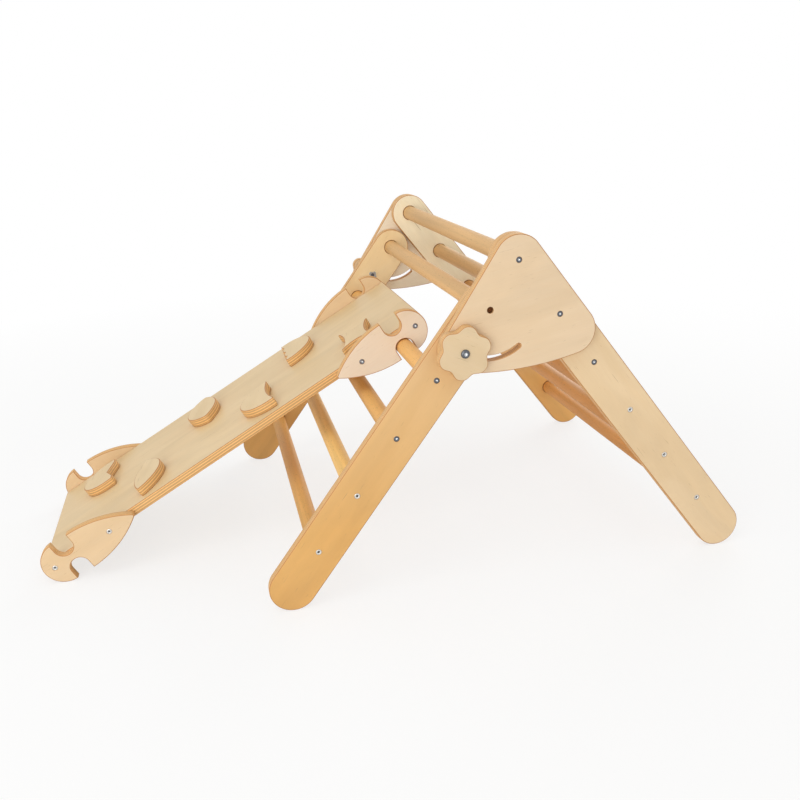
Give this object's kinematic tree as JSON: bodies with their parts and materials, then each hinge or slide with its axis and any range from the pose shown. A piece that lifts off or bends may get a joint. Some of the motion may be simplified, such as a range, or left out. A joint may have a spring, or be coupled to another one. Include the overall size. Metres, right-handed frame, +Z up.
{
  "type": "folding climbing triangle with ramp",
  "caption": "Folding wooden climbing triangle: two hinged ladders in slotted connector plates with star clamping knobs, and a hook-on ramp with climbing holds.",
  "frame": {"origin": "on the floor, under the middle of the bounding box", "axes": "+Z up; the ramp runs down towards -X and the fixed ladder slopes down towards +X; the rungs lie along Y. Right is the -Y side."},
  "size_m": [1.3071, 0.8316, 0.6273],
  "materials": {
    "birch_ply": "birch plywood with a clear satin oil and darker layered edges",
    "honey_ply": "birch plywood, warmer in tone, with a clear satin oil",
    "ramp_ply": "birch plywood board with a clear satin oil",
    "beech": "steamed beech dowel, oiled",
    "steel": "zinc-plated connector screws and bolts"
  },
  "bodies": {
    "rear_frame": {"connector_plate_right": "birch_ply", "connector_plate_left": "birch_ply", "rear_rail_right": "birch_ply", "rear_rail_left": "birch_ply", "rear_rung_1": "beech", "rear_rung_2": "beech", "rear_rung_3": "beech", "rear_rung_4": "beech", "rear_rung_5": "beech", "rear_rung_6": "beech", "plate_screws": "steel", "rear_rung_screws": "steel"},
    "front_frame": {"front_rail_right": "honey_ply", "front_rail_left": "honey_ply", "pivot_rung": "beech", "front_rung_1": "beech", "front_rung_2": "beech", "front_rung_3": "beech", "front_rung_4": "beech", "pivot_screws": "steel", "front_rung_screws": "steel", "tee_nut_right": "steel", "tee_nut_left": "steel"},
    "knob_right": {"knob_disc_right": "birch_ply", "knob_bolt_right": "steel"},
    "knob_left": {"knob_disc_left": "birch_ply", "knob_bolt_left": "steel"},
    "ramp": {"ramp_board": "ramp_ply", "hook_upper_right": "birch_ply", "hook_upper_left": "birch_ply", "hook_lower_right": "birch_ply", "hook_lower_left": "birch_ply", "hook_screws": "steel", "hold_pinched": "birch_ply", "hold_shell": "birch_ply", "hold_bean": "birch_ply", "hold_egg": "birch_ply", "hold_leaf": "birch_ply", "hold_notched": "birch_ply"}
  },
  "joints": [
    {"name": "fold", "type": "hinge", "parent": "rear_frame", "child": "front_frame", "pos_m": [0.15303, 0, 0.50667], "axis": [0, -1, 0], "range_deg": [0, 74.5]},
    {"name": "ramp_swing", "type": "hinge", "parent": "front_frame", "child": "ramp", "pos_m": [0.06408, 0, 0.3909], "axis": [0, 1, 0], "range_deg": [0, 29.2]},
    {"name": "knob_right_turn", "type": "hinge", "parent": "front_frame", "child": "knob_right", "pos_m": [0.10368, -0.4, 0.44244], "axis": [0, -1, 0], "range_deg": [0, 450]},
    {"name": "knob_left_turn", "type": "hinge", "parent": "front_frame", "child": "knob_left", "pos_m": [0.10368, 0.4, 0.44244], "axis": [0, 1, 0], "range_deg": [0, 450]}
  ]
}
